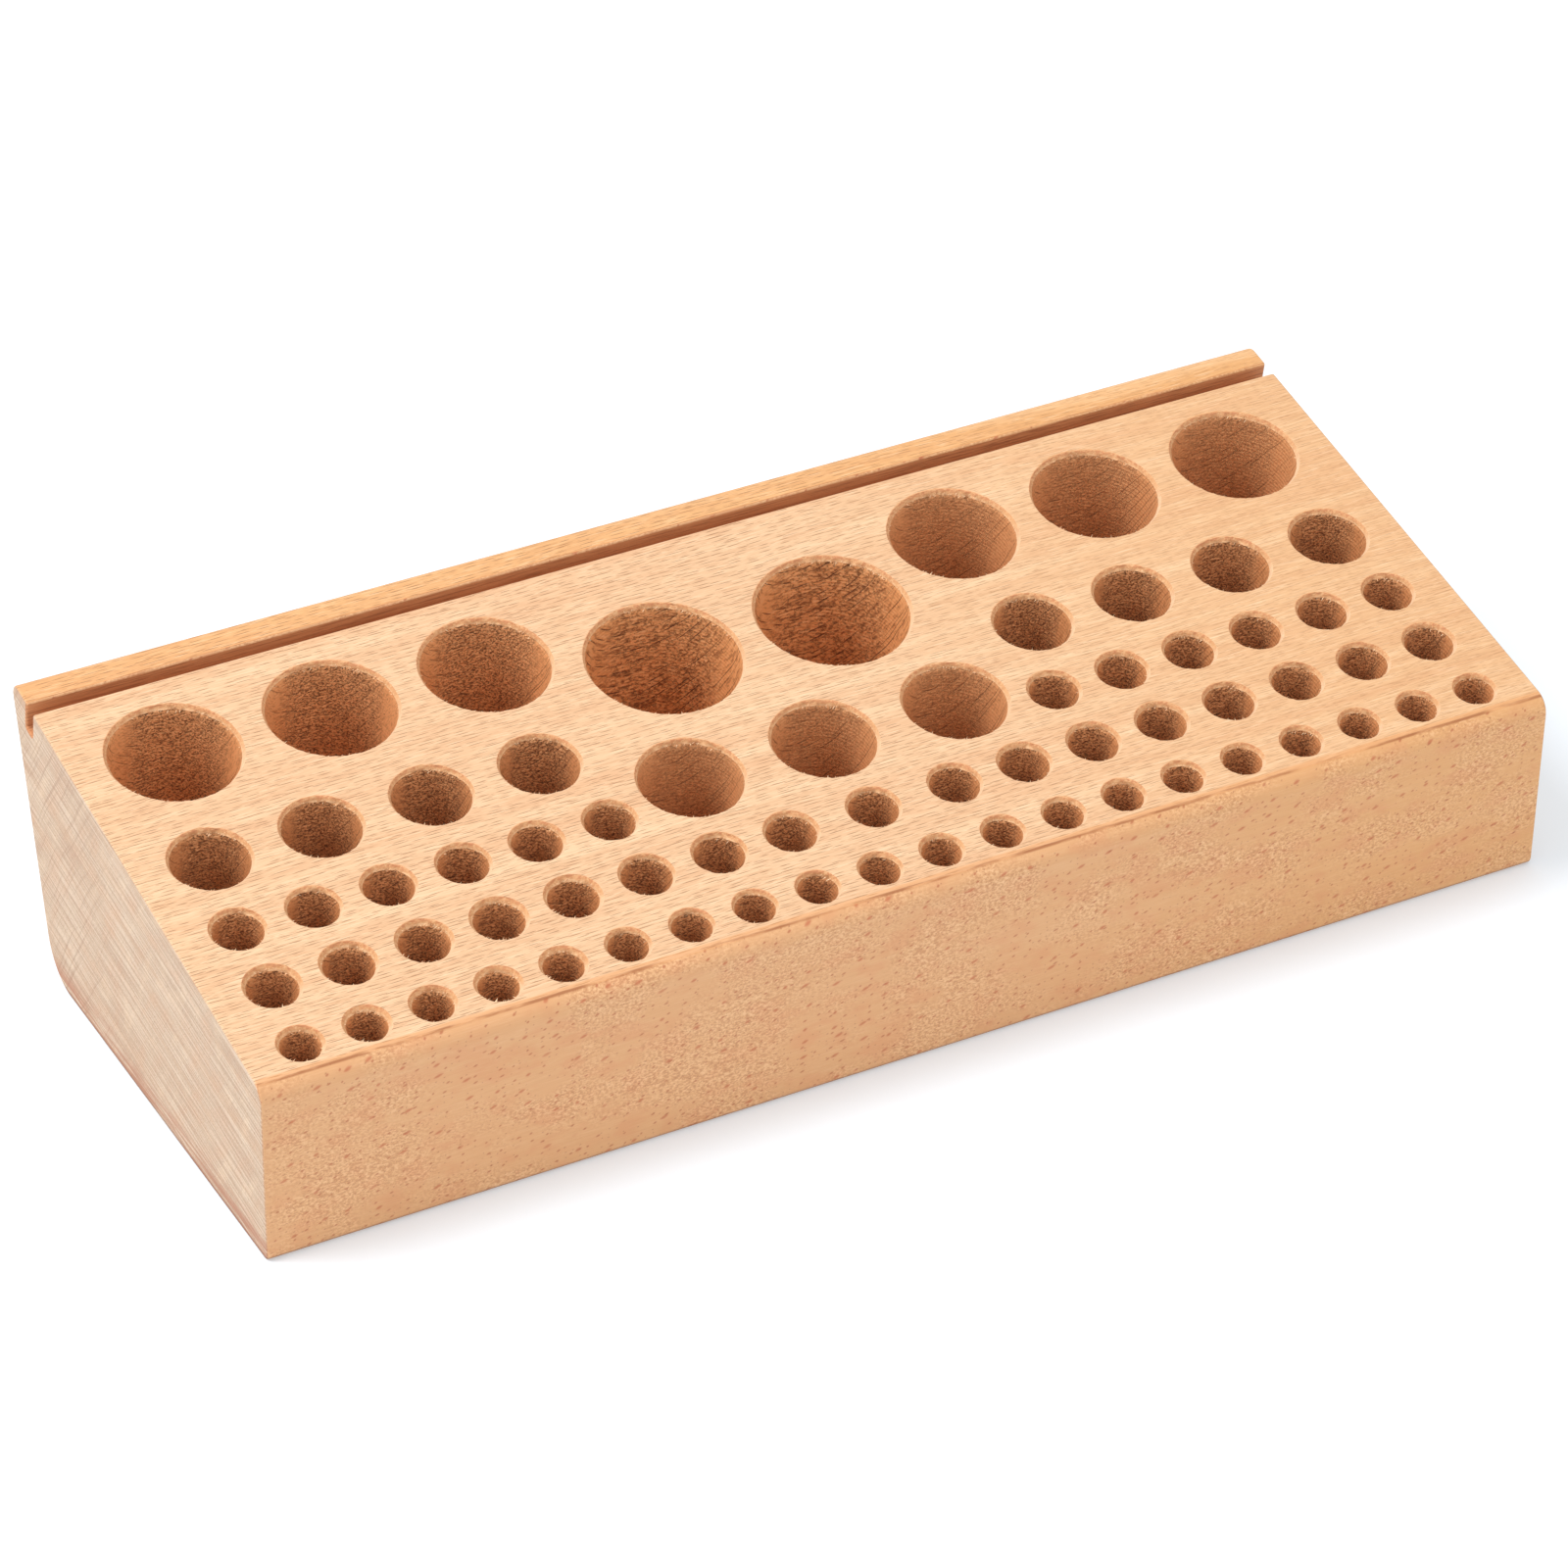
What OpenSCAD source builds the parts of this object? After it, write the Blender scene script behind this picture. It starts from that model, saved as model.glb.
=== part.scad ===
// Bench block for storing small tools, milled from one piece of beech.
// A sloped face carries rows of blind bores, and a narrow slot runs along its rear edge.
//
// Frame: X along the length, Y from front to rear, Z up.
// The origin is at the middle of the footprint, on the base.

/* [Block] */
// Length of the block from end to end
block_length = 270; // [265:1:320]
// Depth of the flat base, up to the sharp corners of the profile
base_depth = 102; // [98:1:130]
// Height of the front face
front_height = 39; // [38:1:60]
// Height of the rear face
rear_height = 62; // [56:1:80]
// How far the front face leans out at its top
front_lean = 2; // [0:0.5:5]
// How far the rear face leans out at its top
rear_lean = 10; // [6:0.5:16]

/* [Edges] */
// Radius of the long edge between the front face and the slope
front_top_radius = 4; // [1:0.5:4.5]
// Radius of the long edge between the front face and the base
front_base_radius = 1.5; // [0.5:0.5:5]
// Radius of the long edge between the rear face and the base
rear_base_radius = 10; // [1:0.5:20]
// Radius of the long edge at the top of the rear face
rear_top_radius = 1.5; // [0.5:0.5:3]

/* [Rear slot] */
// Width of the slot
slot_width = 3; // [1.5:0.5:5]
// Depth of the slot below the slope, at its middle
slot_depth = 6; // [3:0.5:15]
// Thickness of the rail behind the slot, at its top
rail_thickness = 8; // [5:0.5:12]

/* [Bores] */
// Diameter of the two widest bores, in the middle of the rear row
widest_bore_d = 30; // [24:0.5:31]
// Diameter of the other bores of the rear row
wide_bore_d = 25; // [18:0.5:27]
// Diameter of the three wider bores in the middle of the second row
middle_bore_d = 20; // [14:0.5:21]
// Diameter of the other bores of the second row
medium_bore_d = 15; // [10:0.5:17]
// Diameter of the bores of the third and fourth rows
small_bore_d = 9.5; // [6:0.5:11]
// Diameter of the bores of the front row
fine_bore_d = 7.5; // [5:0.5:9]
// Depth of the flat-bottomed bores of the rear and second rows, along their axes
wide_bore_depth = 36; // [20:1:40]
// Depth of the full diameter of the pointed bores of the other rows
small_bore_depth = 28; // [15:1:30]
// Point angle of the drill that makes the pointed bores
drill_point_angle = 118; // [90:1:140]
// Width of the 45 degree chamfer around each bore's mouth
mouth_chamfer = 1; // [0.3:0.1:1.4]

/* [Rows, from the front edge up the slope] */
// Distance up the slope of the front row
fine_row_s = 8.5; // [8:0.5:10]
// Distance up the slope of the fourth row
lower_small_row_s = 23.5; // [21:0.5:25]
// Distance up the slope of the third row
upper_small_row_s = 39; // [37:0.5:41]
// Distance up the slope of the three wider bores of the second row
middle_row_s = 43.5; // [42:0.5:46]
// Distance up the slope of the other bores of the second row
medium_row_s = 57.5; // [56:0.5:60]
// Distance up the slope of the two widest bores
widest_row_s = 75; // [74:0.5:78]
// Distance up the slope of the other bores of the rear row
wide_row_s = 86; // [84:0.5:88]

/* [Columns, along the length] */
// Distance between the bores of the front row
fine_pitch = 13; // [11:0.1:13.4]
// Distance between the bores in each half of the third and fourth rows
small_pitch = 15; // [13.5:0.1:15.3]
// Distance from the middle bore of the fourth row to the next ones
small_centre_pitch = 17.3; // [15:0.1:18]
// Distance between the medium bores of the second row
medium_pitch = 22.3; // [21:0.1:23]
// Distance from the middle of the block to the nearest medium bores
medium_first_x = 52.8; // [50:0.1:54]
// Distance between the three wider bores of the second row
middle_pitch = 28.2; // [25:0.1:29]
// Distance between the wide bores of the rear row
wide_pitch = 32; // [31:0.1:33]
// Distance from the middle of the block to the nearest wide bores
wide_first_x = 50.6; // [50:0.1:52]
// Distance between the two widest bores
widest_pitch = 36.4; // [35:0.1:38]

/* [Hidden] */
$fn = 72;
beech = "#dcb083";
cut_over = 1; // how far a cutter reaches past the surface it enters
arc_over = 0.002; // how far a rounding's circle crosses the sides that it joins

// Sharp corners of the profile, as [y, z], with the front foot at y = 0
front_foot = [0, 0];
front_top = [-front_lean, front_height];
rear_top = [base_depth + rear_lean, rear_height];
rear_foot = [base_depth, 0];
profile_middle_y = (front_top.x + rear_top.x) / 2;

slope_run = rear_top.x - front_top.x;
slope_rise = rear_top.y - front_top.y;
slope_length = norm([slope_run, slope_rise]);
slope_angle = atan2(slope_rise, slope_run);
slot_middle_s = slope_length - rail_thickness - slot_width / 2;

// How many bores each pattern has
fine_count = 20;
lower_small_count_each_side = 8;
upper_small_count_each_side = 6;
medium_count_each_side = 4;
middle_count = 3;
wide_count_each_side = 3;
// The third row starts above the third bore of the fourth row
upper_small_first_x = small_centre_pitch + 2 * small_pitch;

// Places along X of a row of evenly spaced bores, centred on the block
function even_row(count, pitch) = [for (i = [0 : count - 1]) (i - (count - 1) / 2) * pitch];

// Places along X of two like groups of bores, mirrored about the middle of the block
function paired_row(count, first_x, pitch) =
    [for (side = [-1, 1], i = [0 : count - 1]) side * (first_x + i * pitch)];

// Rounds the corner between two straight sides: r is the radius, and before, corner and
// after are points of the outline in order
module rounded_corner(before, corner, after, r) {
    u = (before - corner) / norm(before - corner);
    v = (after - corner) / norm(after - corner);
    half_angle = acos(u * v) / 2;
    tangent = r / tan(half_angle);
    bisector = (u + v) / norm(u + v);
    centre = corner + bisector * r / sin(half_angle);
    beyond = corner - bisector * r;
    difference() {
        polygon([corner + u * tangent, beyond, corner + v * tangent, centre]);
        translate(centre) circle(r + arc_over);
    }
}

// Profile of the block, with its base on the first axis
module profile() {
    difference() {
        polygon([front_foot, front_top, rear_top, rear_foot]);
        rounded_corner(front_foot, front_top, rear_top, front_top_radius);
        rounded_corner(front_top, rear_top, rear_foot, rear_top_radius);
        rounded_corner(rear_top, rear_foot, front_foot, rear_base_radius);
        rounded_corner(rear_foot, front_foot, front_top, front_base_radius);
    }
}

// Extrudes a [y, z] outline along X, centred on the block
module along_length(length) {
    rotate([90, 0, 90])
        translate([-profile_middle_y, 0, -length / 2])
            linear_extrude(length) children();
}

// Places children on the slope: x along the block, s up the slope from the front edge,
// with +Z standing out of the slope
module on_slope(x, s) {
    translate([x, front_top.x - profile_middle_y, front_top.y])
        rotate([slope_angle, 0, 0])
            translate([0, s, 0]) children();
}

// Cutter of one bore: flat_end is true for the flat-bottomed bores
module bore(diameter, depth, flat_end) {
    r = diameter / 2;
    point = flat_end ? 0 : r / tan(drill_point_angle / 2);
    rotate_extrude()
        polygon(concat(
            flat_end ? [[0, -depth]] : [[0, -depth - point]],
            [
                [r, -depth],
                [r, -mouth_chamfer],
                [r + mouth_chamfer + cut_over, cut_over],
                [0, cut_over]
            ]));
}

// Cutters of one row of bores
module bore_row(xs, s, diameter, depth, flat_end) {
    for (x = xs) on_slope(x, s) bore(diameter, depth, flat_end);
}

module all_bores() {
    bore_row(even_row(fine_count, fine_pitch), fine_row_s, fine_bore_d, small_bore_depth, false);
    bore_row(
        concat([0], paired_row(lower_small_count_each_side, small_centre_pitch, small_pitch)),
        lower_small_row_s, small_bore_d, small_bore_depth, false);
    bore_row(
        paired_row(upper_small_count_each_side, upper_small_first_x, small_pitch),
        upper_small_row_s, small_bore_d, small_bore_depth, false);
    bore_row(even_row(middle_count, middle_pitch), middle_row_s, middle_bore_d, wide_bore_depth, true);
    bore_row(
        paired_row(medium_count_each_side, medium_first_x, medium_pitch),
        medium_row_s, medium_bore_d, wide_bore_depth, true);
    bore_row(even_row(2, widest_pitch), widest_row_s, widest_bore_d, wide_bore_depth, true);
    bore_row(
        paired_row(wide_count_each_side, wide_first_x, wide_pitch),
        wide_row_s, wide_bore_d, wide_bore_depth, true);
}

// Cutter of the slot, which is open at both ends of the block
module rear_slot() {
    length = block_length + 2 * cut_over;
    on_slope(0, slot_middle_s)
        translate([-length / 2, -slot_width / 2, -slot_depth])
            cube([length, slot_width, slot_depth + cut_over]);
}

module block() {
    color(beech)
        difference() {
            along_length(block_length) profile();
            rear_slot();
            all_bores();
        }
}

block();
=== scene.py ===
"""Tool storage block: one wedge of solid beech with chamfered bores and a slot along its rear edge.

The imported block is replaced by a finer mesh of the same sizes, with eased ends, soft chamfers and
walls that the drill has torn a little, and by the loose fibres that stand at the bores' mouths.
"""
import math

import bmesh
import bpy
import numpy as np
from mathutils import Matrix, Vector, noise
from mathutils.geometry import delaunay_2d_cdt


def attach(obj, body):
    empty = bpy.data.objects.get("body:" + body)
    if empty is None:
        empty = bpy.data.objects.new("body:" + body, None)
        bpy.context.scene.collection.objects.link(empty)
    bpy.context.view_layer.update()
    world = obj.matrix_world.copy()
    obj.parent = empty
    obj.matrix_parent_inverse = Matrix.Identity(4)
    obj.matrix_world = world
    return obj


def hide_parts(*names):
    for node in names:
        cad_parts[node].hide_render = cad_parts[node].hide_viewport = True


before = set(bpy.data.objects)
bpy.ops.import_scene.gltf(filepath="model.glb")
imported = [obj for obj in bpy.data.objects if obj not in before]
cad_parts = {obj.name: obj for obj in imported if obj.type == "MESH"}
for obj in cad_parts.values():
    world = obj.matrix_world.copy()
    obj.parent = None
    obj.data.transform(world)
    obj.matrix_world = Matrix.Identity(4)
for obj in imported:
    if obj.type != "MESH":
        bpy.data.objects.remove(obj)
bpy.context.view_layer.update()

MM = 0.001

# ---------------------------------------------------------------- sizes, in millimetres
LENGTH = 270.0
BASE_DEPTH = 102.0
FRONT_HEIGHT = 39.0
REAR_HEIGHT = 62.0
FRONT_LEAN = 2.0
REAR_LEAN = 10.0
SLOT_WIDTH = 3.0
SLOT_DEPTH = 6.0
RAIL_THICKNESS = 8.0
CHAMFER = 1.0
DRILL_POINT_ANGLE = 118.0
END_EASING = 0.5  # less than the radii of the slot's edges, which it narrows at the ends

# Radius of each rounded edge, and the number of faces that round it
FRONT_TOP_EDGE = (4.0, 10)
FRONT_FOOT_EDGE = (1.5, 6)
REAR_FOOT_EDGE = (10.0, 16)
REAR_TOP_EDGE = (2.5, 8)
SLOT_TOP_EDGE = (0.6, 5)
SLOT_LOW_EDGE = (0.7, 4)

FRONT_TOP = np.array([-FRONT_LEAN, FRONT_HEIGHT])
REAR_TOP = np.array([BASE_DEPTH + REAR_LEAN, REAR_HEIGHT])
FRONT_FOOT = np.array([0.0, 0.0])
REAR_FOOT = np.array([BASE_DEPTH, 0.0])
MIDDLE_Y = (FRONT_TOP[0] + REAR_TOP[0]) / 2
SLOPE_LENGTH = float(np.hypot(*(REAR_TOP - FRONT_TOP)))
SLOPE_ANGLE = math.atan2(*(REAR_TOP - FRONT_TOP)[::-1])
SLOPE_UP = np.array([math.cos(SLOPE_ANGLE), math.sin(SLOPE_ANGLE)])
SLOPE_OUT = np.array([-math.sin(SLOPE_ANGLE), math.cos(SLOPE_ANGLE)])
# Where the slope's plane lies along its normal, and its front end along it, seen from the block's origin
SLOPE_LEVEL = float(FRONT_TOP @ SLOPE_OUT) - MIDDLE_Y * SLOPE_OUT[0]
FRONT_TOP_S = -(float(FRONT_TOP @ SLOPE_UP) - MIDDLE_Y * SLOPE_UP[0])
SLOT_FRONT_S = SLOPE_LENGTH - RAIL_THICKNESS - SLOT_WIDTH
SLOT_REAR_S = SLOPE_LENGTH - RAIL_THICKNESS


def even_row(count, pitch):
    """Places along X of evenly spaced bores, centred on the block."""
    return [(i - (count - 1) / 2) * pitch for i in range(count)]


def paired_row(count, first_x, pitch):
    """Places along X of two like groups of bores, mirrored about the middle."""
    return [side * (first_x + i * pitch) for side in (-1, 1) for i in range(count)]


# Each row: places along X, distance up the slope, diameter, depth, flat end
BORE_ROWS = [
    (even_row(20, 13.0), 8.5, 7.5, 28.0, False),
    ([0.0] + paired_row(8, 17.3, 15.0), 23.5, 9.5, 28.0, False),
    (paired_row(6, 47.3, 15.0), 39.0, 9.5, 28.0, False),
    (even_row(3, 28.2), 43.5, 20.0, 36.0, True),
    (paired_row(4, 52.8, 22.3), 57.5, 15.0, 36.0, True),
    (even_row(2, 36.4), 75.0, 30.0, 36.0, True),
    (paired_row(3, 50.6, 32.0), 86.0, 25.0, 36.0, True),
]


# ---------------------------------------------------------------- places
def profile_point(s, n):
    """A point of the profile, [y, z], from its place on the slope: s up it and n out of it."""
    return FRONT_TOP + s * SLOPE_UP + n * SLOPE_OUT


def slope_to_world(x, s, n):
    """Arrays of points in millimetres, from places on the slope."""
    y = FRONT_TOP[0] + s * SLOPE_UP[0] + n * SLOPE_OUT[0] - MIDDLE_Y
    z = FRONT_TOP[1] + s * SLOPE_UP[1] + n * SLOPE_OUT[1]
    return np.stack(np.broadcast_arrays(x, y, z), -1)


# ---------------------------------------------------------------- profile
def rounded(before, corner, after, radius, steps):
    """Points and outward normals of the arc that rounds one corner of a counter-clockwise outline."""
    u = (before - corner) / np.linalg.norm(before - corner)
    v = (after - corner) / np.linalg.norm(after - corner)
    half = math.acos(float(np.clip(u @ v, -1, 1))) / 2
    middle = (u + v) / np.linalg.norm(u + v)
    centre = corner + middle * radius / math.sin(half)
    turn = u[0] * v[1] - u[1] * v[0]
    sign = 1.0 if turn < 0 else -1.0
    start = corner + u * radius / math.tan(half) - centre
    end = corner + v * radius / math.tan(half) - centre
    sweep = math.atan2(start[0] * end[1] - start[1] * end[0], start @ end)
    first = math.atan2(start[1], start[0])
    points = []
    for i in range(steps + 1):
        a = first + sweep * i / steps
        ray = np.array([math.cos(a), math.sin(a)])
        points.append((centre + radius * ray, sign * ray))
    return points


def profile_ring():
    """The block's outline, counter-clockwise in [y, z], as (point, outward normal) pairs.

    It starts at the slope's front end, goes over the slope and slot to the rear and back along the base.
    """
    slot_front_top = profile_point(SLOT_FRONT_S, 0)
    slot_front_low = profile_point(SLOT_FRONT_S, -SLOT_DEPTH)
    slot_rear_low = profile_point(SLOT_REAR_S, -SLOT_DEPTH)
    slot_rear_top = profile_point(SLOT_REAR_S, 0)
    corners = [
        (FRONT_TOP, *FRONT_TOP_EDGE),
        (FRONT_FOOT, *FRONT_FOOT_EDGE),
        (REAR_FOOT, *REAR_FOOT_EDGE),
        (REAR_TOP, *REAR_TOP_EDGE),
        (slot_rear_top, *SLOT_TOP_EDGE),
        (slot_rear_low, *SLOT_LOW_EDGE),
        (slot_front_low, *SLOT_LOW_EDGE),
        (slot_front_top, *SLOT_TOP_EDGE),
    ]
    ring = []
    for i, (corner, radius, steps) in enumerate(corners):
        before = corners[i - 1][0]
        after = corners[(i + 1) % len(corners)][0]
        ring += rounded(before, corner, after, radius, steps)
    return ring


# ---------------------------------------------------------------- mesh
class Shell:
    """Collects points, and faces with a smoothing group and a place in the list of materials each."""

    def __init__(self):
        self.points = []
        self.faces = []
        self.groups = []
        self.slots = []

    def add(self, points):
        first = len(self.points)
        self.points += [tuple(p) for p in points]
        return list(range(first, first + len(points)))

    def face(self, corners, group, slot):
        self.faces.append(corners)
        self.groups.append(group)
        self.slots.append(slot)

    def strip(self, ring_a, ring_b, group, slot):
        """Quads between two closed rings of as many points."""
        count = len(ring_a)
        for i in range(count):
            j = (i + 1) % count
            self.face([ring_a[i], ring_a[j], ring_b[j], ring_b[i]], group, slot)


def ease_steps(count=4):
    """(how far in from the end, how far inside the outline) along a quarter round."""
    return [
        (END_EASING * (1 - math.sin(a)), END_EASING * (1 - math.cos(a)))
        for a in np.linspace(0, math.pi / 2, count + 1)
    ]


# The block's materials, by their places in its list
FACE_SLOT = 0
CHAMFER_SLOT = 1
WALL_SLOTS = {"torn": 2, "clean": 3, "coarse": 4, "narrow": 5}
SLOT_SLOT = 6

# Smoothing groups: one for the outside, and a few for each bore
OUTSIDE = 0
GROUPS_PER_BORE = 10
CHAMFER_GROUP, WALL_GROUP, BOTTOM_GROUP = 1, 2, 3

BORE_STEP = 0.5  # size of the wall's faces near the mouth
STEP_GROWTH = 1.22  # each ring of faces is this much taller than the one above
# Rings of the chamfer: how far out and down, as shares of its size, and how ragged. The first two
# are the sanded brim, which looks like the face.
CHAMFER_RINGS = [(1.0, 0.0, 0.8), (0.72, 0.05, 1.2), (0.58, 0.2, 1.0), (0.32, 0.55, 0.8), (0.1, 0.85, 1.0)]
TORN_AT = math.radians(62)  # where the drill ran against the grain, and again across the bore


def fbm(p, scale, octaves=3):
    """Smooth noise of about -1 to 1 at a point in millimetres, with finer octaves added."""
    return noise.fractal(Vector(p) / scale, 0.8, 2.0, octaves)


def wall_kind(radius, x):
    """How the drill left a bore, by its size and place: the widest tore coarsely, and others cut clean. The
    narrowest get a darker copy of the torn wall, painted shade.
    """
    if radius < 8:
        return "narrow"
    if radius > 14:
        return "coarse"
    if radius > 9 and (radius < 12 or x > 0):
        return "clean"
    return "torn"


def torn_share(angle):
    """How much of the wall is torn at an angle round a bore, from 0 to 1."""
    return min(1.0, max(0.0, 0.45 + 0.75 * math.cos(2 * (angle - TORN_AT))))


def bore_rings(x, s, radius, depth):
    """The rings of one bore from its mouth down, in slope places, as arrays of shape (rings, around, 3)."""
    around = int(2 * math.pi * radius / BORE_STEP / 4) * 4
    angles = np.linspace(0, 2 * math.pi, around, endpoint=False)
    rays = [(math.cos(a), math.sin(a), torn_share(a)) for a in angles]
    seed = Vector((x * 3.1, s * 2.3, radius))
    # the chamfers differ a little in depth, and those near the front left corner are the deepest
    front_left = x < -60 and s < 30
    deep = 1.0 + 0.12 * noise.noise(seed) + (0.22 if front_left else 0.0)
    rings = []
    for out, drop, ragged in CHAMFER_RINGS:
        ring = []
        for ray_x, ray_s, torn in rays:
            spot = seed + Vector((ray_x * radius, ray_s * radius, 7.0 * out))
            jag = fbm(spot, 1.1) * (0.05 + 0.10 * torn) - 0.04 * out
            teeth = abs(noise.noise(spot / 0.31)) * torn * (1 - out) ** 2
            jag += 1.3 * teeth - 0.2 * torn * (1 - out) ** 2
            share = out if out == 1 else min(out * deep, 0.95)
            r = radius + share * CHAMFER + jag * ragged
            hanging = 1.2 * teeth if out < 0.2 else 0.0
            n = -(min(drop * deep, 1.02) + hanging) * CHAMFER
            ring.append((x + ray_x * r, s + ray_s * r, n))
        rings.append(ring)
    depths = []
    reach, step = CHAMFER * 1.25, BORE_STEP
    while reach + 1.4 * step < depth:
        reach += step
        depths.append(reach)
        step *= STEP_GROWTH
    depths.append(depth)
    for d in depths:
        ring = []
        fade = min(1.0, (depth - d) / 2.0)
        for ray_x, ray_s, torn in rays:
            spot = seed + Vector((ray_x * radius, ray_s * radius, -d))
            rough = fbm((spot.x / 1.8, spot.y, spot.z), 0.5)
            push = rough * (0.02 + 0.03 * ray_x ** 2 + 0.10 * torn) + noise.noise(spot / 5.0) * 0.05
            r = radius + push * fade
            ring.append((x + ray_x * r, s + ray_s * r, -d))
        rings.append(ring)
    return np.array(rings)


def add_bore(shell, mouth, rings, group, wall, radius, depth, flat_end, x, s):
    """The chamfer, wall and bottom of one bore, whose first ring is already in the shell."""
    last = mouth
    count = len(mouth)
    for i, ring in enumerate(rings[1:], 1):
        ids = shell.add(slope_to_world(*ring.T))
        if i == 1:
            shell.strip(last, ids, OUTSIDE, FACE_SLOT)
        elif i < len(CHAMFER_RINGS):
            shell.strip(last, ids, group + CHAMFER_GROUP, CHAMFER_SLOT)
        else:
            shell.strip(last, ids, group + WALL_GROUP, wall)
        last = ids
    point = 0 if flat_end else radius / math.tan(math.radians(DRILL_POINT_ANGLE / 2))
    tip_n = -depth - point
    tip = shell.add(slope_to_world(np.array([x]), s, tip_n))[0]
    for i in range(count):
        shell.face([last[i], last[(i + 1) % count], tip], group + BOTTOM_GROUP, wall)


def encloses(loop, x, y):
    """Whether a closed loop of points goes round a point."""
    inside = False
    for (ax, ay), (bx, by) in zip(loop, loop[1:] + loop[:1]):
        if (ay > y) != (by > y) and x < ax + (y - ay) * (bx - ax) / (by - ay):
            inside = not inside
    return inside


def add_slope(shell, outline, outline_ids, mouths):
    """The flat slope inside its outline, with a hole for each bore. Returns each mouth's points."""
    loops = [outline] + mouths
    flat = [Vector(p) for loop in loops for p in loop]
    owner = [k for k, loop in enumerate(loops) for _ in loop]
    edges = []
    ids = list(outline_ids)
    holes = []
    for loop in loops:
        first, count = len(edges), len(loop)
        edges += [(first + i, first + (i + 1) % count) for i in range(count)]
    for loop in mouths:
        xs, ss = np.array(loop).T
        holes.append(shell.add(slope_to_world(xs, ss, 0.0)))
        ids += holes[-1]
    points, _, faces, _, _, _ = delaunay_2d_cdt(flat, edges, [], 0, 1e-7)
    if len(points) != len(flat):
        raise RuntimeError("the slope's borders cross")
    for f in faces:
        mouth = owner[f[0]]
        if mouth and all(owner[i] == mouth for i in f):
            x, s = sum((points[i] for i in f), Vector((0, 0))) / 3
            if encloses(loops[mouth], x, s):
                continue
        shell.face([ids[i] for i in f], OUTSIDE, FACE_SLOT)
    return holes


def build_block():
    """The whole block as one closed mesh."""
    shell = Shell()
    ring = profile_ring()
    count = len(ring)
    half = LENGTH / 2

    def slope_s(p):
        return float((p - FRONT_TOP) @ SLOPE_UP)

    def in_slot(p):
        deep = -float((p - FRONT_TOP) @ SLOPE_OUT)
        return 0.25 < deep < SLOT_DEPTH + 0.1 and SLOT_FRONT_S - 0.1 < slope_s(p) < SLOT_REAR_S + 0.1

    def station(x, inside):
        return [(x, p[0] - n[0] * inside - MIDDLE_Y, p[1] - n[1] * inside) for p, n in ring]

    left = [(-half + out, inside) for out, inside in ease_steps()][::-1]
    right = [(half - out, inside) for out, inside in ease_steps()]
    stations = [shell.add(station(x, inside)) for x, inside in left + right]
    slope_start, slope_end = 0, count - 1
    sawn = [in_slot(p) for p, _ in ring]
    for k, (near, far) in enumerate(zip(stations, stations[1:])):
        middle = k == len(left) - 1
        for i in range(count):
            j = (i + 1) % count
            if middle and i == slope_end and j == slope_start:
                continue
            material = SLOT_SLOT if sawn[i] and sawn[j] else FACE_SLOT
            shell.face([near[i], near[j], far[j], far[i]], OUTSIDE, material)
    shell.face(stations[0][::-1], OUTSIDE, FACE_SLOT)
    shell.face(stations[-1], OUTSIDE, FACE_SLOT)

    # the slope spans the gap that the middle stations leave between the first and last ring points
    s0, s1 = slope_s(ring[slope_start][0]), slope_s(ring[slope_end][0])
    x0, x1 = left[-1][0], right[0][0]
    outline = [(x0, s0), (x1, s0), (x1, s1), (x0, s1)]
    near, far = stations[len(left) - 1], stations[len(left)]
    outline_ids = [near[slope_start], far[slope_start], far[slope_end], near[slope_end]]
    bores = [
        (x, s, d / 2, depth, flat_end, bore_rings(x, s, d / 2, depth))
        for xs, s, d, depth, flat_end in BORE_ROWS
        for x in xs
    ]
    mouths = [[(p[0], p[1]) for p in rings[0]] for *_, rings in bores]
    holes = add_slope(shell, outline, outline_ids, mouths)
    for k, ((x, s, radius, depth, flat_end, rings), mouth) in enumerate(zip(bores, holes)):
        wall = WALL_SLOTS[wall_kind(radius, x)]
        add_bore(shell, mouth, rings, GROUPS_PER_BORE * (k + 1), wall, radius, depth, flat_end, x, s)
    return shell


FIBRE_SEED = 20
FIBRES_PER_MM = 2.2  # tried along each mouth, of which the torn parts keep more


def build_fibres():
    """Loose fibre ends at the bores' mouths, each a closed splinter rooted in the chamfer's foot."""
    rng = np.random.default_rng(FIBRE_SEED)
    points, faces = [], []
    for xs, s, diameter, _, _ in BORE_ROWS:
        for x in xs:
            radius = diameter / 2
            for _ in range(int(2 * math.pi * radius * FIBRES_PER_MM)):
                angle = rng.uniform(0, 2 * math.pi)
                torn = torn_share(angle)
                if rng.random() > 0.12 + 0.88 * torn:
                    continue
                ray = np.array([math.cos(angle), math.sin(angle), 0.0])
                side = np.array([-ray[1], ray[0], 0.0])
                level = -CHAMFER * rng.uniform(0.55, 1.3)
                reach = radius + max(0.0, CHAMFER + level) + 0.12 + 0.12 * torn
                root = np.array([x, s, level]) + ray * reach
                lean = -ray + np.array([-0.9 * np.sign(ray[0]), 0, 0]) + rng.normal(0, 0.35, 3)
                lean += np.array([0, 0, rng.uniform(-0.1, 0.7)])
                lean /= np.linalg.norm(lean)
                tip = root + lean * rng.uniform(0.3, 0.55 + 0.55 * torn)
                width = rng.uniform(0.05, 0.13)
                up = np.cross(lean, side)
                base = [root + side * width, root - side * width, root + up * width * 0.9]
                first = len(points)
                points += [tuple(slope_to_world(*p)) for p in base + [tip]]
                faces += [(first, first + 1, first + 2)]
                faces += [(first + i, first + 3, first + (i + 1) % 3) for i in range(3)]
    return points, faces


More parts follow.
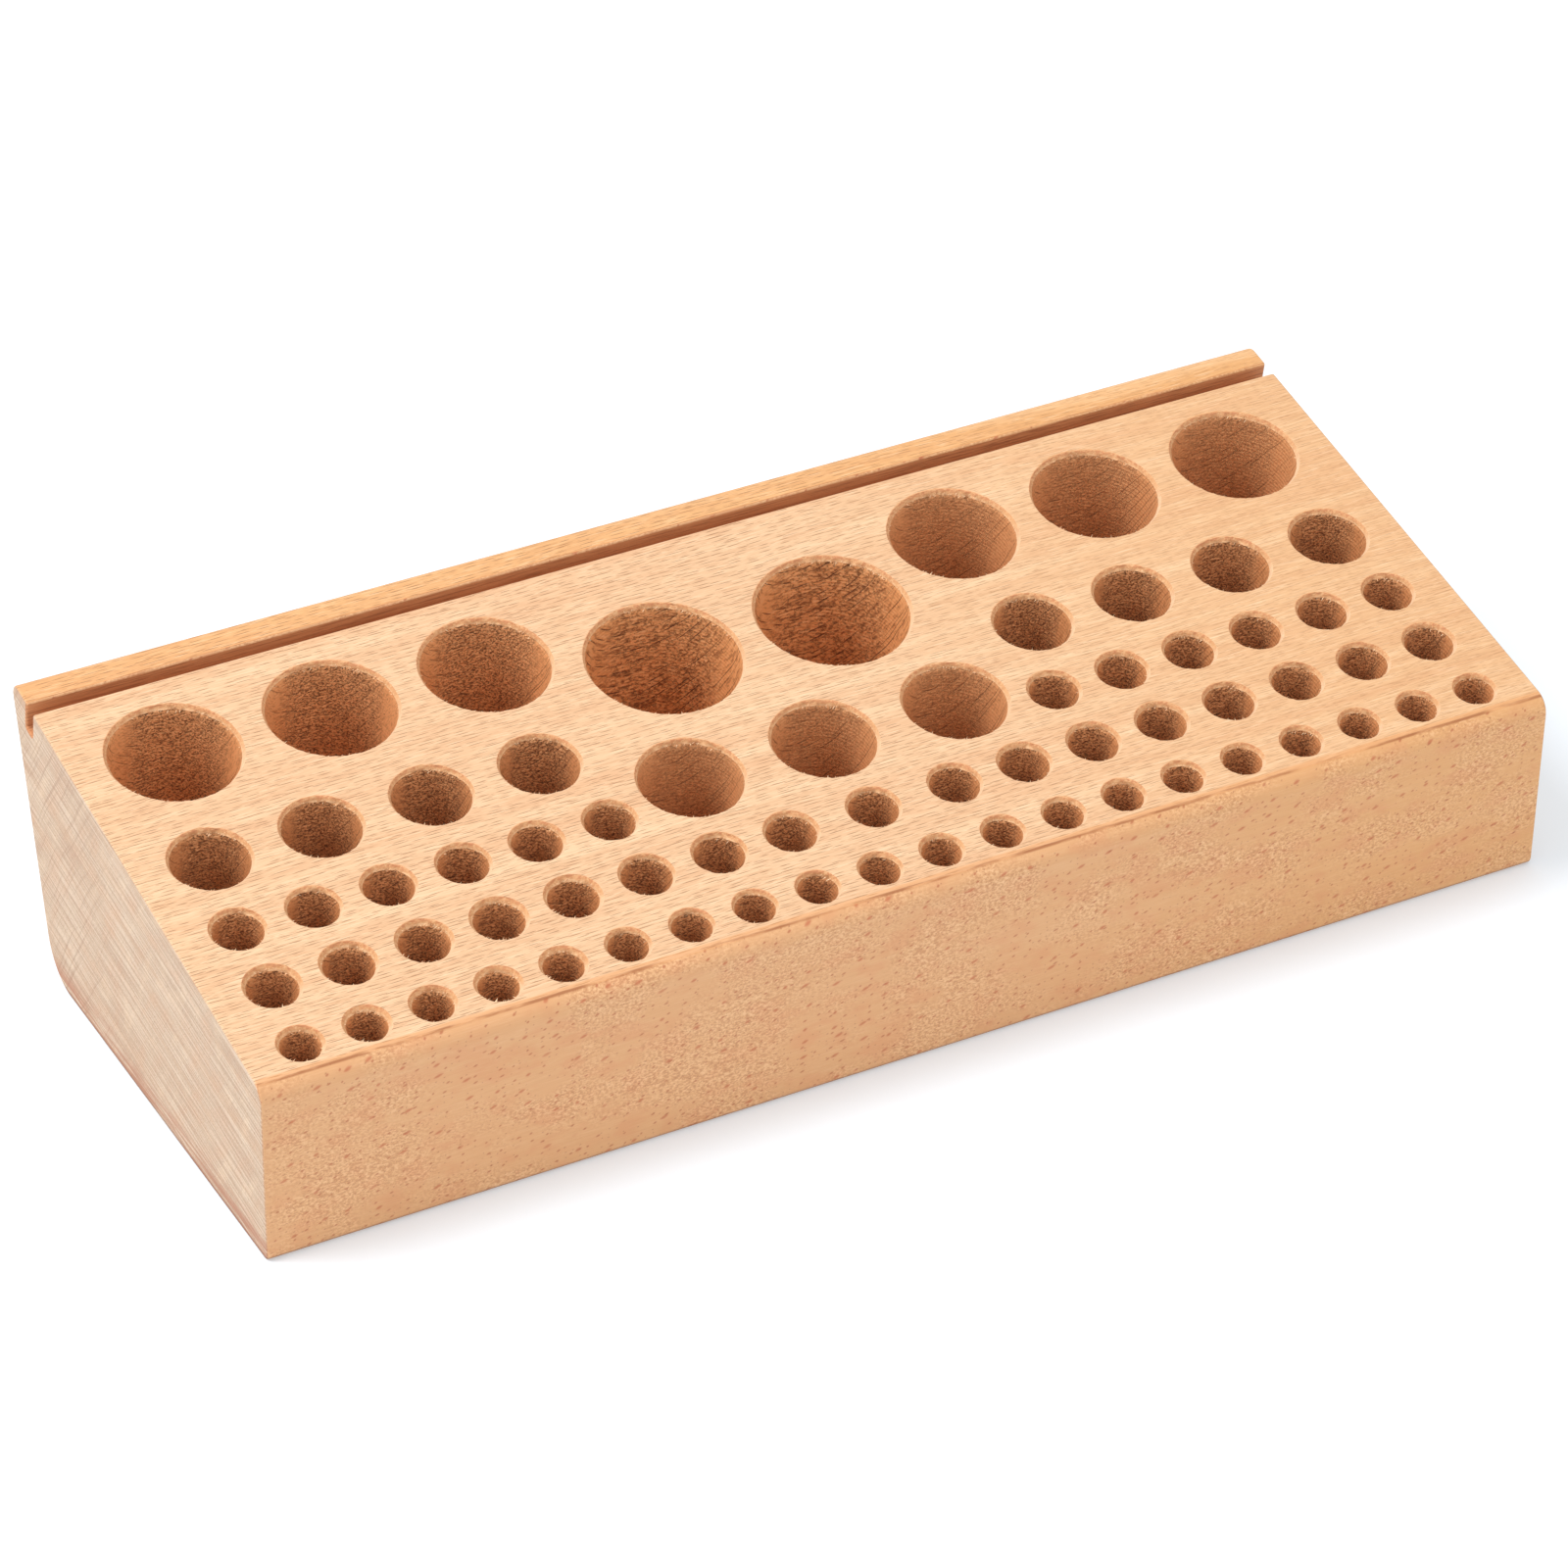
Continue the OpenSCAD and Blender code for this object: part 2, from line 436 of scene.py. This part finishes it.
def make_fibres():
    """The loose fibres as one Blender object."""
    points, faces = build_fibres()
    mesh = bpy.data.meshes.new("rim_fibres")
    mesh.from_pydata((np.array(points) * MM).tolist(), [], faces)
    mesh.materials.append(beech_fibres())
    mesh.update()
    work = bmesh.new()
    work.from_mesh(mesh)
    bmesh.ops.recalc_face_normals(work, faces=work.faces)
    work.to_mesh(mesh)
    work.free()
    fibres = bpy.data.objects.new("rim_fibres", mesh)
    bpy.context.scene.collection.objects.link(fibres)
    return fibres


def finish_mesh(name, shell, materials):
    """The shell as a Blender object, with each group shaded smooth by itself, by the faces' areas."""
    faces = shell.faces
    mesh = bpy.data.meshes.new(name)
    mesh.from_pydata((np.array(shell.points) * MM).tolist(), [], faces)
    mesh.polygons.foreach_set("material_index", shell.slots)
    mesh.polygons.foreach_set("use_smooth", [True] * len(faces))
    for material in materials:
        mesh.materials.append(material)
    mesh.update()

    normals = np.zeros(len(mesh.polygons) * 3)
    mesh.polygons.foreach_get("normal", normals)
    areas = np.zeros(len(mesh.polygons))
    mesh.polygons.foreach_get("area", areas)
    weighted = normals.reshape(-1, 3) * areas[:, None]
    sizes = np.array([len(f) for f in faces])
    corner_face = np.repeat(np.arange(len(faces)), sizes)
    corner_point = np.concatenate(faces)
    groups = np.array(shell.groups)[corner_face]
    key = corner_point.astype(np.int64) * (groups.max() + 1) + groups
    _, slot_of = np.unique(key, return_inverse=True)
    slot_of = slot_of.reshape(-1)
    sums = np.zeros((slot_of.max() + 1, 3))
    np.add.at(sums, slot_of, weighted[corner_face])
    corner_normals = sums[slot_of]
    corner_normals /= np.linalg.norm(corner_normals, axis=1, keepdims=True)
    mesh.normals_split_custom_set(corner_normals.tolist())
    block = bpy.data.objects.new(name, mesh)
    bpy.context.scene.collection.objects.link(block)
    return block


# ---------------------------------------------------------------- materials
class Nodes:
    """A shorthand for building a material's node tree."""

    def __init__(self, name):
        self.material = bpy.data.materials.new(name)
        self.material.use_nodes = True
        self.tree = self.material.node_tree
        self.tree.nodes.clear()
        output = self.tree.nodes.new("ShaderNodeOutputMaterial")
        self.shader = self.tree.nodes.new("ShaderNodeBsdfPrincipled")
        self.tree.links.new(self.shader.outputs[0], output.inputs["Surface"])

    def node(self, kind, inputs=None, **settings):
        node = self.tree.nodes.new("ShaderNode" + kind)
        for key, value in settings.items():
            setattr(node, key, value)
        for key, value in (inputs or {}).items():
            self.put(node.inputs[key], value)
        return node

    def put(self, socket, value):
        if hasattr(value, "is_output") and value.is_output:
            self.tree.links.new(value, socket)
        else:
            socket.default_value = value

    def math(self, operation, a, b=0.0, c=0.0, clamp=False):
        node = self.node("Math", operation=operation, use_clamp=clamp)
        for socket, value in zip(node.inputs, (a, b, c)):
            self.put(socket, value)
        return node.outputs[0]

    def ramp(self, value, low, high):
        """0 at low and 1 at high, smooth between; low may be the larger."""
        node = self.node("MapRange", interpolation_type="SMOOTHSTEP")
        flip = low > high
        first, last = (high, low) if flip else (low, high)
        for key, v in zip(
            ("Value", "From Min", "From Max", "To Min", "To Max"),
            (value, first, last, 1.0 if flip else 0.0, 0.0 if flip else 1.0),
        ):
            self.put(node.inputs[key], v)
        return node.outputs["Result"]

    def mix(self, factor, a, b):
        node = self.node("Mix", data_type="RGBA")
        self.put(node.inputs["Factor"], factor)
        self.put(node.inputs["A"], a)
        self.put(node.inputs["B"], b)
        return [o for o in node.outputs if o.type == "RGBA"][0]

    def stretched(self, vector, scale):
        return self.node("Mapping", {"Vector": vector, "Scale": scale}).outputs[0]

    def noise(self, vector, scale, detail=3.0, rough=0.5):
        inputs = {"Vector": vector, "Scale": scale, "Detail": detail, "Roughness": rough}
        return self.node("TexNoise", inputs).outputs[0]


def rgb(*shown):
    """A colour given as three display values from 0 to 255, as linear light."""

    def linear(v):
        return v / 12.92 if v <= 0.04045 else ((v + 0.055) / 1.055) ** 2.4

    return tuple(linear(v / 255) for v in shown) + (1.0,)


RAY_TILT = math.radians(25.5)  # the wood's rays lean this far forward of the slope's normal
FEED_MARKS = 0.0009  # metres that the drill went in at each turn


class Beech(Nodes):
    """Beech cut out of one log, with the patterns that every cut of it shares.

    The grain runs along X. The rays are thin ribbons: dashes on the slope, flecks on the front and
    lines on the ends and in the bores. The growth rings lie square to them.
    """

    def __init__(self, name):
        super().__init__(name)
        place = self.node("TexCoord")
        self.place = place.outputs["Object"]
        self.along = self.part(self.place, (1, 0, 0))
        lean = SLOPE_ANGLE + RAY_TILT
        around = self.part(self.place, (0, math.cos(lean), math.sin(lean)))
        outward = self.part(self.place, (0, -math.sin(lean), math.cos(lean)))
        straight = self.join(self.along, around, outward)
        wander = self.noise(self.stretched(straight, (7.0, 28.0, 28.0)), 1.0, 2.0)
        self.around = self.math("MULTIPLY_ADD", wander, 0.005, around)
        self.outward = self.math("MULTIPLY_ADD", wander, -0.004, outward)
        self.grain = self.join(self.along, self.around, self.outward)

        self.normal = place.outputs["Normal"]
        self.facing_x = self.part(self.normal, (1, 0, 0))
        self.facing_s = self.part(self.normal, (0, *SLOPE_UP))
        self.on_end = self.ramp(self.math("ABSOLUTE", self.facing_x), 0.6, 0.95)
        # the front and the rear are cut alike
        self.on_front = self.ramp(self.math("ABSOLUTE", self.part(self.normal, (0, 1, 0))), 0.46, 0.56)
        self.colour = None
        self.height = 0.0

    def part(self, vector, direction):
        """How far a vector goes in one direction."""
        return self.node("VectorMath", {0: vector, 1: direction}, operation="DOT_PRODUCT").outputs["Value"]

    def join(self, x, y, z=0.0):
        return self.node("CombineXYZ", {"X": x, "Y": y, "Z": z}).outputs[0]

    def spread(self, a, a_scale, b, b_scale):
        """A flat place for noise, from two lengths with a scale each."""
        return self.join(self.math("MULTIPLY", a, a_scale), self.math("MULTIPLY", b, b_scale))

    def tint(self, mask, strength, colour):
        """Lays a colour over what is there, where the mask is 1."""
        self.colour = self.mix(self.math("MULTIPLY", mask, strength, clamp=True), self.colour, colour)

    def both(self, *masks):
        """Where every one of the masks is 1."""
        product = masks[0]
        for mask in masks[1:]:
            product = self.math("MULTIPLY", product, mask)
        return product

    def raise_by(self, mask, amount):
        """Lifts the surface for the bump, where the mask is 1."""
        self.height = self.math("MULTIPLY_ADD", mask, amount, self.height)

    def dashes(self, across, pitch, half, share, seed=0.0, core=0.55):
        """Lens-shaped marks along the grain. Pitch and half are lengths in metres along and across
        it, share is how many of the places hold a mark and core how much of a mark is at full strength."""
        u = self.math("MULTIPLY", self.along, 1 / pitch[0])
        v = self.math("MULTIPLY_ADD", across, 1 / pitch[1], seed)
        inputs = {"Vector": self.join(u, v), "Scale": 1.0, "Randomness": 0.75}
        cells = self.node("TexVoronoi", inputs, voronoi_dimensions="2D")
        centre = self.node("SeparateXYZ", {"Vector": cells.outputs["Position"]})
        chance = self.node("SeparateColor", {"Color": cells.outputs["Color"]})
        reach = self.math("MULTIPLY_ADD", chance.outputs[1], 0.7, 0.65)
        du = self.math("MULTIPLY", self.math("SUBTRACT", u, centre.outputs[0]), pitch[0] / half[0])
        du = self.math("DIVIDE", du, reach)
        dv = self.math("MULTIPLY", self.math("SUBTRACT", v, centre.outputs[1]), pitch[1] / half[1])
        off = self.math("MULTIPLY_ADD", du, du, self.math("ABSOLUTE", dv))
        held = self.ramp(chance.outputs[0], 1 - share, 1.12 - share)
        return self.math("MULTIPLY", self.ramp(off, 1.0, core), held)

    def finish(self, bump, roughness):
        """Ties colour, bump and roughness to the shader, and gives the material."""
        self.put(self.shader.inputs["Base Color"], self.colour)
        height = self.node("Bump", {"Strength": bump, "Distance": 0.0003, "Height": self.height})
        self.put(self.shader.inputs["Normal"], height.outputs[0])
        self.put(self.shader.inputs["Roughness"], roughness)
        self.shader.inputs["Specular IOR Level"].default_value = 0.35
        return self.material


def beech_face():
    """The planed and sanded outside of the block."""
    k = Beech("beech_face")
    up_slope = k.part(k.place, (0, *SLOPE_UP))
    height = k.part(k.place, (0, 0, 1))
    rail = k.ramp(up_slope, *[(v - FRONT_TOP_S) * MM for v in (SLOT_FRONT_S, SLOT_REAR_S)])
    slope = k.mix(rail, rgb(221, 181, 142), rgb(220, 167, 113))
    k.colour = k.mix(k.on_end, k.mix(k.on_front, slope, rgb(214, 162, 115)), rgb(195, 169, 143))
    # painted shade: darker and more orange towards the right end, away from the key lamp
    k.tint(k.ramp(k.along, 0.0, 0.12), 0.32, rgb(216, 158, 92))
    off_front = k.math("SUBTRACT", 1.0, k.on_front)

    add_growth(k, off_front)
    rays = add_rays(k, off_front)
    add_flecks(k, height)
    # painted shade over the rounded front edge
    add_front_edge_shade(k)
    add_end_grain(k, up_slope, height)
    # painted contact shadow along the foot of the sides
    add_painted_contact_shadow(k, height)
    return k.finish(0.25, k.math("MULTIPLY_ADD", rays, 0.12, 0.56))


def add_growth(k, off_front):
    """Growth rings, wide tracts of fibres and single fibres, fainter on the front and rear."""
    soft = k.math("MULTIPLY_ADD", off_front, 0.75, 0.25)
    bow = k.noise(k.stretched(k.grain, (3.0, 14.0, 40.0)), 1.0, 2.0)
    level = k.math("MULTIPLY_ADD", bow, 0.004, k.outward)
    phase = k.math("FRACT", k.math("MULTIPLY", level, 420.0))
    rings = k.both(k.ramp(phase, 0.2, 0.9), k.ramp(phase, 1.0, 0.9))
    k.tint(k.both(rings, soft), 0.10, rgb(186, 128, 84))
    tracts = k.noise(k.stretched(k.grain, (9.0, 260.0, 90.0)), 1.0, 3.0)
    k.tint(k.both(k.ramp(tracts, 0.42, 0.75), soft), 0.22, rgb(206, 142, 98))
    k.tint(k.both(k.ramp(tracts, 0.5, 0.25), soft), 0.25, rgb(244, 212, 174))
    fibre = k.noise(k.stretched(k.grain, (170.0, 4200.0, 4200.0)), 1.0, 2.0, 0.6)
    k.tint(k.both(k.ramp(fibre, 0.47, 0.70), soft), 0.30, rgb(172, 118, 78))
    k.tint(k.both(k.ramp(fibre, 0.47, 0.3), soft), 0.30, rgb(248, 220, 186))
    k.raise_by(fibre, 0.35)


def add_rays(k, off_front):
    """The dashes that the rays make on the slope. Returns where the long ones are."""
    on_slope = k.math("SUBTRACT", off_front, k.on_end, clamp=True)
    rays = k.dashes(k.around, (0.0040, 0.00082), (0.0019, 0.000085), 0.95)
    short = k.dashes(k.around, (0.0022, 0.0007), (0.0008, 0.00008), 0.7, 31.4)
    fading = k.math("MULTIPLY_ADD", k.ramp(k.along, 0.0, 0.11), -0.6, 1.0)
    k.tint(k.both(rays, on_slope, fading), 0.72, rgb(126, 82, 50))
    k.tint(k.both(short, on_slope), 0.4, rgb(150, 98, 60))
    k.raise_by(rays, -0.5)
    return rays


def add_flecks(k, height):
    """The front and rear cut the rays askew: soft flecks, with pores between smooth patches."""
    slant = k.math("MULTIPLY_ADD", k.along, -0.28, height)
    big = k.dashes(slant, (0.0058, 0.0042), (0.00095, 0.00055), 0.6, 7.7, 0.1)
    small = k.dashes(slant, (0.0028, 0.0020), (0.0005, 0.00032), 0.6, 3.3, 0.2)
    specks = k.dashes(slant, (0.0015, 0.0011), (0.00024, 0.00018), 0.35, 5.9, 0.2)
    patch = k.ramp(k.noise(k.stretched(k.place, (60.0, 60.0, 95.0)), 1.0, 3.0), 0.38, 0.62)
    short_pores = k.noise(k.stretched(k.place, (1500.0, 1500.0, 2600.0)), 1.0, 3.0, 0.7)
    long_pores = k.noise(k.stretched(k.place, (240.0, 1500.0, 2400.0)), 1.0, 3.0, 0.7)
    on_rear = k.ramp(k.part(k.normal, (0, 1, 0)), 0.3, 0.6)
    pores = k.math("MULTIPLY_ADD", k.math("SUBTRACT", long_pores, short_pores), on_rear, short_pores)
    blush = k.noise(k.stretched(k.place, (150.0, 150.0, 260.0)), 1.0, 2.0)
    k.tint(k.both(k.ramp(blush, 0.45, 0.7), k.on_front), 0.35, rgb(208, 140, 98))
    k.tint(k.both(k.ramp(pores, 0.50, 0.60), patch, k.on_front), 0.45, rgb(170, 112, 74))
    k.tint(k.both(k.ramp(pores, 0.50, 0.38), patch, k.on_front), 0.45, rgb(242, 200, 154))
    k.tint(k.both(big, k.on_front), 0.78, rgb(186, 106, 70))
    k.tint(k.both(small, k.on_front), 0.72, rgb(174, 100, 66))
    k.tint(k.both(specks, k.on_front), 0.52, rgb(154, 92, 60))


def add_front_edge_shade(k):
    """The long rounded edge over the front gets a deeper tone and a broken dark line, both painted shade
    where the surface turns from the slope down to the front.
    """
    forward = k.math("MULTIPLY", k.part(k.normal, (0, 1, 0)), -1.0)
    # painted shade: a deeper band over the rounded edge
    edge = k.both(k.ramp(forward, 0.21, 0.32), k.ramp(forward, 0.60, 0.50))
    k.tint(edge, 0.5, rgb(214, 146, 88))
    # painted shade: a broken dark line lower on the rounded edge
    line = k.both(k.ramp(forward, 0.40, 0.48), k.ramp(forward, 0.62, 0.52))
    broken = k.ramp(k.noise(k.stretched(k.grain, (110.0, 600.0, 600.0)), 1.0, 3.0), 0.36, 0.60)
    k.tint(k.both(line, broken), 0.75, rgb(146, 84, 46))


def add_end_grain(k, up_slope, height):
    """The ends: saw marks along the slope, crossed by rays to the rear and dotted with pores."""
    to_rear = k.part(k.place, (0, 1, 0))
    out_of_slope = k.part(k.place, (0, *SLOPE_OUT))
    fan = k.math("MULTIPLY_ADD", up_slope, 0.06, out_of_slope)
    marks = k.noise(k.spread(up_slope, 40.0, fan, 1900.0), 1.0, 1.0, 0.5)
    k.tint(k.both(k.ramp(marks, 0.50, 0.62), k.on_end), 0.30, rgb(158, 122, 98))
    k.tint(k.both(k.ramp(marks, 0.50, 0.38), k.on_end), 0.30, rgb(240, 220, 196))
    broad = k.noise(k.spread(up_slope, 12.0, fan, 220.0), 1.0, 2.0)
    k.tint(k.both(k.ramp(broad, 0.46, 0.68), k.on_end), 0.18, rgb(206, 158, 118))
    crossing = k.noise(k.spread(k.around, 1500.0, k.outward, 30.0), 1.0, 2.0, 0.6)
    rear = k.ramp(to_rear, -0.005, 0.04)
    k.tint(k.both(k.ramp(crossing, 0.52, 0.66), rear, k.on_end), 0.40, rgb(158, 120, 94))
    dots = k.noise(k.stretched(k.place, (0.0, 1900.0, 1900.0)), 1.0, 2.0, 0.7)
    k.tint(k.both(k.ramp(dots, 0.59, 0.66), k.on_end), 0.5, rgb(150, 108, 82))
    # darker reddish stripes along the lowest few millimetres of the ends
    low = k.ramp(height, 0.0075, 0.0015)
    stripes = k.noise(k.spread(to_rear, 30.0, height, 1000.0), 1.0, 2.0)
    k.tint(k.both(k.ramp(stripes, 0.40, 0.55), low, k.on_end), 0.75, rgb(170, 104, 72))


def add_painted_contact_shadow(k, height):
    """Painted contact shadow: a thin dark line along the foot of the sides where the block meets the bench,
    but not on its underside.
    """
    sideways = k.ramp(k.part(k.normal, (0, 0, -1)), 0.97, 0.85)
    # painted contact shadow in the lowest 1.3 mm of the sides
    k.tint(k.both(k.ramp(height, 0.0013, 0.0004), sideways), 0.6, rgb(112, 68, 42))


def beech_chamfer():
    """The ring that the countersink cut: torn and reddish on the side that faces forward, partly torn grain
    and partly painted shade, and paler on the side that faces the rear, a painted highlight. Its foot has a
    pale fringe, partly pale fibres and partly a painted highlight along the rim.
    """
    k = Beech("beech_chamfer")
    k.colour = rgb(220, 166, 116)
    drop = k.math("SUBTRACT", k.part(k.place, (0, *SLOPE_OUT)), SLOPE_LEVEL * MM)
    # torn grain and painted shade: reddish grit on the outer part where the chamfer faces forward
    outer = k.math("MULTIPLY", k.ramp(drop, -0.0008, -0.0001), k.ramp(k.facing_s, 0.1, -0.4))
    grit = k.noise(k.stretched(k.grain, (900.0, 1800.0, 1800.0)), 1.0, 3.0, 0.75)
    k.tint(k.both(k.ramp(grit, 0.42, 0.56), outer), 0.6, rgb(198, 120, 82))
    k.tint(k.ramp(grit, 0.50, 0.62), 0.35, rgb(188, 122, 84))
    k.tint(k.ramp(grit, 0.47, 0.38), 0.22, rgb(250, 210, 166))
    # painted highlight: paler where the chamfer faces the rear, towards the lamps
    k.tint(k.ramp(k.facing_s, 0.0, 0.5), 0.45, rgb(250, 222, 188))
    # pale fringe at the chamfer's foot: pale torn fibres, with a painted highlight along the rim
    foot = k.both(k.ramp(drop, -0.0006, -0.0008), k.ramp(grit, 0.60, 0.46))
    k.tint(foot, 0.28, rgb(250, 216, 174))
    k.raise_by(grit, 1.0)
    return k.finish(0.6, 0.62)


def beech_wall(name, colour, grit_size, pitted, streak_size, streaky, ray_strength):
    """A drilled wall: streaks and rays all round it, and pits where the drill tore.

    The sizes are in metres, and the others say from 0 to 1 how strong the pits, streaks and rays are.
    """
    k = Beech(name)
    k.colour = colour
    # the cosine of twice the angle from where the drill tore, from the wall's own direction
    square_x = k.math("MULTIPLY", k.facing_x, k.facing_x)
    square_s = k.math("MULTIPLY", k.facing_s, k.facing_s)
    product = k.math("MULTIPLY", k.math("MULTIPLY", k.facing_x, k.facing_s), 2 * math.sin(2 * TORN_AT))
    difference = k.math("SUBTRACT", square_x, square_s)
    torn = k.ramp(k.math("MULTIPLY_ADD", difference, math.cos(2 * TORN_AT), product), -0.45, 0.55)

    scale = 1 / streak_size
    streaks = k.noise(k.stretched(k.grain, (0.1 * scale, scale, 0.2 * scale)), 1.0, 3.0, 0.65)
    k.tint(k.ramp(streaks, 0.48, 0.66), streaky, rgb(132, 76, 42))
    k.tint(k.ramp(streaks, 0.46, 0.32), streaky * 0.8, rgb(244, 188, 136))
    rays = k.dashes(k.around, (0.0044, 0.0012), (0.0020, 0.00009), 0.75)
    k.tint(rays, ray_strength, rgb(98, 54, 28))
    scale = 1 / grit_size
    grit = k.noise(k.stretched(k.grain, (0.6 * scale, scale, scale)), 1.0, 3.0, 0.75)
    pits = k.both(k.ramp(grit, 0.50, 0.61), torn)
    tips = k.both(k.ramp(grit, 0.47, 0.37), torn)
    k.tint(pits, pitted, rgb(94, 50, 26))
    k.tint(tips, pitted * 0.75, rgb(246, 192, 142))
    marks = k.math("SINE", k.math("MULTIPLY", k.part(k.place, (0, *SLOPE_OUT)), 2 * math.pi / FEED_MARKS))
    k.raise_by(marks, 0.12)
    k.raise_by(streaks, streaky)
    k.raise_by(rays, -1.2 * ray_strength)
    k.raise_by(pits, -2.2 * pitted)
    return k.finish(0.75, 0.68)


def beech_slot_sawn_and_shaded():
    """The sawn slot, streaked along its length and darker than the planed face, the darkness partly the
    sawn surface and partly painted shade inside the groove.
    """
    k = Beech("beech_slot_sawn_and_shaded")
    # sawn surface and painted shade: a darker base than the face
    k.colour = rgb(204, 140, 94)
    streaks = k.noise(k.stretched(k.grain, (90.0, 2600.0, 2600.0)), 1.0, 3.0, 0.65)
    k.tint(k.ramp(streaks, 0.46, 0.66), 0.55, rgb(136, 82, 50))
    k.tint(k.ramp(streaks, 0.46, 0.3), 0.3, rgb(226, 164, 114))
    k.raise_by(streaks, 1.0)
    return k.finish(0.5, 0.7)


def beech_fibres():
    """Loose ends of fibres at the bores' mouths."""
    k = Beech("beech_loose_fibres")
    k.colour = rgb(246, 212, 172)
    pale = k.noise(k.stretched(k.grain, (900.0, 900.0, 900.0)), 1.0, 2.0)
    k.tint(k.ramp(pale, 0.45, 0.7), 0.5, rgb(206, 146, 100))
    k.raise_by(pale, 0.4)
    return k.finish(0.3, 0.7)


# ---------------------------------------------------------------- floor, lights and camera
def make_floor():
    """A pale floor that gives off a little light of its own, so that it stays white under the lamps."""
    mesh = bpy.data.meshes.new("floor")
    size = 6.0
    corners = [(-size, -size, 0), (size, -size, 0), (size, size, 0), (-size, size, 0)]
    mesh.from_pydata(corners, [], [(0, 1, 2, 3)])
    floor = bpy.data.objects.new("floor", mesh)
    bpy.context.scene.collection.objects.link(floor)
    k = Nodes("floor_white")
    k.put(k.shader.inputs["Base Color"], (0.665, 0.72, 0.775, 1))
    k.put(k.shader.inputs["Emission Color"], (1, 1, 1, 1))
    k.put(k.shader.inputs["Emission Strength"], 0.25)
    k.put(k.shader.inputs["Roughness"], 0.9)
    k.put(k.shader.inputs["Specular IOR Level"], 0.1)
    mesh.materials.append(k.material)


def area_light(name, place, size, power):
    """A round lamp that faces the block."""
    data = bpy.data.lights.new(name, "AREA")
    data.shape = "DISK"
    data.size = size
    data.energy = power
    light = bpy.data.objects.new(name, data)
    light.location = place
    light.rotation_mode = "QUATERNION"
    light.rotation_quaternion = Vector(place).to_track_quat("Z", "Y")
    bpy.context.scene.collection.objects.link(light)


def make_lights():
    """An even white surround, a key lamp high over the left end and a fill lamp in front."""
    world = bpy.data.worlds.new("studio")
    world.use_nodes = True
    background = world.node_tree.nodes["Background"]
    background.inputs["Color"].default_value = (1.0, 1.0, 1.0, 1)
    background.inputs["Strength"].default_value = 0.75
    bpy.context.scene.world = world
    area_light("key", (-0.9, 0.3, 1.5), 0.9, 22)
    area_light("fill", (0.25, -1.5, 1.3), 1.2, 8)


# The photograph's camera: angles in degrees, lengths in metres, lens in millimetres
CAMERA_AZIMUTH = -27.26
CAMERA_ELEVATION = 33.47
CAMERA_ROLL = -0.54
CAMERA_DISTANCE = 1.217
CAMERA_TARGET = Vector((-0.00125, 0.0001, 0.02926))
CAMERA_LENS = 145.7


def make_camera():
    """The photograph's view of the block."""
    azimuth, elevation = math.radians(CAMERA_AZIMUTH), math.radians(CAMERA_ELEVATION)
    back = Vector((
        math.sin(azimuth) * math.cos(elevation),
        -math.cos(azimuth) * math.cos(elevation),
        math.sin(elevation),
    ))
    data = bpy.data.cameras.new("camera")
    data.lens = CAMERA_LENS
    data.sensor_width = 36
    camera = bpy.data.objects.new("camera", data)
    camera.location = CAMERA_TARGET + back * CAMERA_DISTANCE
    camera.rotation_mode = "QUATERNION"
    roll = Matrix.Rotation(math.radians(CAMERA_ROLL), 3, back)
    camera.rotation_quaternion = (roll @ (-back).to_track_quat("-Z", "Y").to_matrix()).to_quaternion()
    data.clip_start, data.clip_end = 0.05, 50
    bpy.context.scene.collection.objects.link(camera)
    bpy.context.scene.camera = camera


block = finish_mesh("beech_block", build_block(), [
    beech_face(),
    beech_chamfer(),
    beech_wall("beech_bore_torn", rgb(238, 170, 113), 0.00033, 0.72, 0.00028, 0.45, 0.45),
    beech_wall("beech_bore_clean", rgb(228, 163, 110), 0.00030, 0.32, 0.00022, 0.40, 0.48),
    beech_wall("beech_bore_coarse", rgb(236, 168, 109), 0.00058, 0.52, 0.00055, 0.60, 0.8),
    # a darker copy of the torn wall for the narrow bores: painted shade
    beech_wall("beech_bore_narrow_shaded", rgb(221, 154, 101), 0.00033, 0.74, 0.00028, 0.45, 0.45),
    beech_slot_sawn_and_shaded(),
])
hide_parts("block")
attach(block, "root")
fibres = make_fibres()
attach(fibres, "root")

make_floor()
make_lights()
make_camera()
bpy.context.scene.view_settings.view_transform = "Standard"

bpy.context.view_layer.update()
